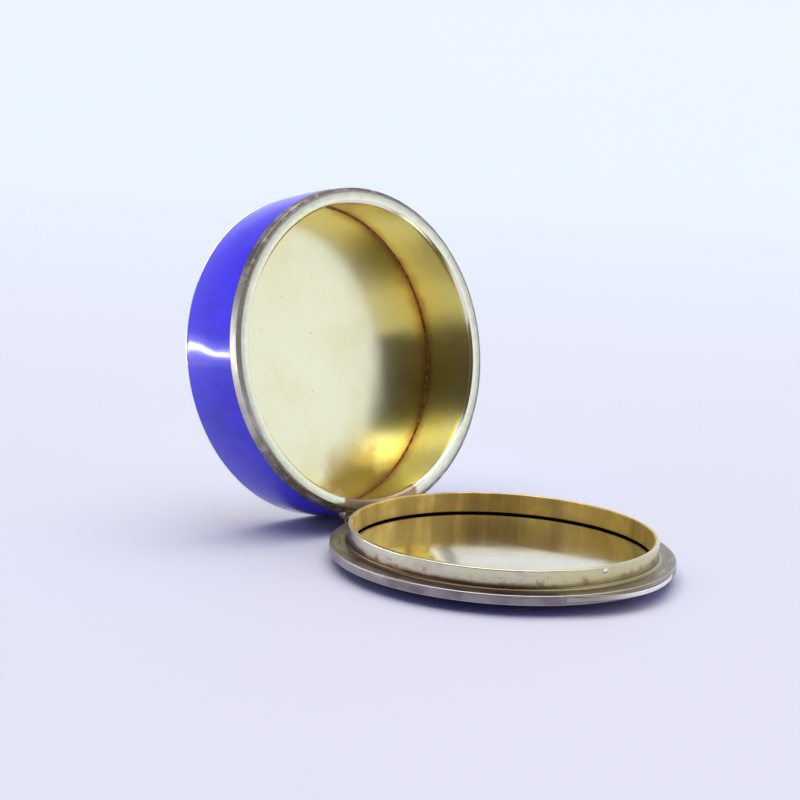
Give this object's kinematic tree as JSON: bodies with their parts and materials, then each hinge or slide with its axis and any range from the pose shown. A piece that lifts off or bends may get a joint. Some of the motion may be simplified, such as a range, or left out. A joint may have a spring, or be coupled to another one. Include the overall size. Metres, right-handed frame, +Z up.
{
  "type": "pill box",
  "caption": "Small round silver pill box, cobalt enamel outside and gilt inside, with a hinged lid lying open; the drum leans back from the hinge.",
  "frame": {"origin": "bottom centre of the open box, on the surface that it lies on", "axes": "+Z up; the hinge pin runs along X; the drum is on the +Y side and leans back, the lid lies flat on the -Y side, enamel down"},
  "size_m": [0.0402, 0.06, 0.0409],
  "materials": {
    "bright_silver": "polished silver with fine handling scratches",
    "tarnished_silver": "turned silver with a brown-grey tarnish",
    "gilt": "satin gilding over silver, brushed round",
    "gilt_floor": "pale worn gilding, brushed",
    "solder": "dark oxidised solder",
    "blue_enamel": "glossy translucent cobalt enamel"
  },
  "bodies": {
    "box": {"box_wall": "gilt", "box_enamel": "blue_enamel", "mouth_ring": "bright_silver", "floor_plate": "gilt_floor", "floor_solder": "solder", "base_plate": "bright_silver", "base_edge_ring": "bright_silver", "box_hinge_bearer": "tarnished_silver", "box_knuckle_left": "tarnished_silver", "box_knuckle_middle": "tarnished_silver", "box_knuckle_right": "tarnished_silver", "hinge_pin": "bright_silver", "pin_plug_left": "tarnished_silver", "pin_plug_right": "tarnished_silver"},
    "lid": {"lid_rim": "tarnished_silver", "lid_collar": "gilt", "lid_inner_plate": "gilt", "lid_plate": "bright_silver", "lid_enamel": "blue_enamel", "thumb_piece": "bright_silver", "snap_pip": "bright_silver", "lid_hinge_bearer": "tarnished_silver", "lid_knuckle_left": "tarnished_silver", "lid_knuckle_right": "tarnished_silver"}
  },
  "joints": [
    {"name": "lid_hinge", "type": "hinge", "parent": "box", "child": "lid", "pos_m": [0, 0.01089, 0.00213], "axis": [-1, 0, 0], "range_deg": [0, 102.9]}
  ]
}
